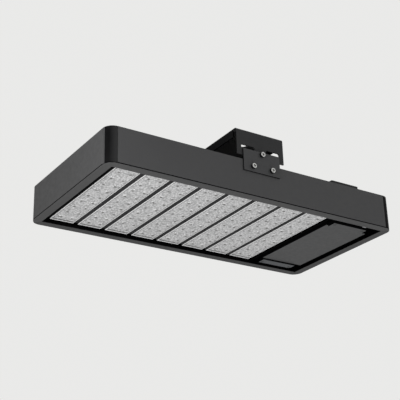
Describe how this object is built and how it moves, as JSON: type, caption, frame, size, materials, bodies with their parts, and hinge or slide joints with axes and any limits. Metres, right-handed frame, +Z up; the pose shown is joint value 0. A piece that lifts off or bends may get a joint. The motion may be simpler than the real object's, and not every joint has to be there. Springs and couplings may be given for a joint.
{
  "type": "led canopy light",
  "caption": "Flat rectangular LED canopy light with lensed modules, a driver bay and a tilting U bracket for the ceiling.",
  "frame": {"origin": "centre of the upper face of the ceiling bracket, which lies against the ceiling", "axes": "+X along the housing towards the driver bay, -Y towards the long side nearest in the picture, +Z up"},
  "size_m": [0.66, 0.342, 0.138],
  "materials": {
    "frame_coat": "matte",
    "sheet_coat": "matte",
    "bracket_coat": "matte",
    "bay_coat": "matte",
    "sink_anodised": "matte",
    "module_coat": "matte",
    "plain_aluminium": "satin",
    "bright_steel": "satin",
    "dark_steel": "matte",
    "corner_plastic": "matte",
    "black_plastic": "matte",
    "lens_plastic": "satin",
    "board_white": "satin",
    "pale_plastic": "matte",
    "blue_plastic": "matte",
    "cable_rubber": "matte"
  },
  "bodies": {
    "bracket": {"mounting_bracket": "bracket_coat"},
    "light": {"side_plate_near": "bracket_coat", "side_plate_far": "bracket_coat", "pivot_screws": "bright_steel", "pivot_washers": "bright_steel", "pivot_nuts": "bright_steel", "side_plate_screws": "bright_steel", "anchor_blocks": "plain_aluminium", "side_profile_near": "frame_coat", "side_profile_far": "frame_coat", "end_profile_left": "frame_coat", "end_profile_right": "frame_coat", "corner_posts": "corner_plastic", "rim_clip": "frame_coat", "heat_sink": "sink_anodised", "heat_sink_screws": "bright_steel", "lens_plate_1": "lens_plastic", "lens_plate_2": "lens_plastic", "lens_plate_3": "lens_plastic", "lens_plate_4": "lens_plastic", "lens_plate_5": "lens_plastic", "lens_plate_6": "lens_plastic", "lens_plate_7": "lens_plastic", "lens_plate_8": "lens_plastic", "led_board_1": "board_white", "led_board_2": "board_white", "led_board_3": "board_white", "led_board_4": "board_white", "led_board_5": "board_white", "led_board_6": "board_white", "led_board_7": "board_white", "led_board_8": "board_white", "module_body_1": "module_coat", "module_body_2": "module_coat", "module_body_3": "module_coat", "module_body_4": "module_coat", "module_body_5": "module_coat", "module_body_6": "module_coat", "module_body_7": "module_coat", "module_body_8": "module_coat", "module_screws": "bright_steel", "module_connectors": "black_plastic", "harness_cable": "cable_rubber", "bay_partition": "bay_coat", "bay_roof": "sheet_coat", "roof_screws": "bright_steel", "driver_box": "bay_coat", "driver_cover": "sheet_coat", "cover_strip": "sheet_coat", "cover_screws": "dark_steel", "led_driver": "plain_aluminium", "box_screws": "bright_steel", "supply_lead": "cable_rubber", "wiring_box": "black_plastic", "wiring_box_lid": "black_plastic", "lid_screws": "bright_steel", "terminal_block": "pale_plastic", "surge_protector": "blue_plastic", "cable_gland": "black_plastic", "gland_nut": "black_plastic"}
  },
  "joints": [
    {"name": "tilt", "type": "hinge", "parent": "bracket", "child": "light", "pos_m": [0, 0, -0.0485], "axis": [0, 1, 0], "range_deg": [-8, 8]}
  ]
}
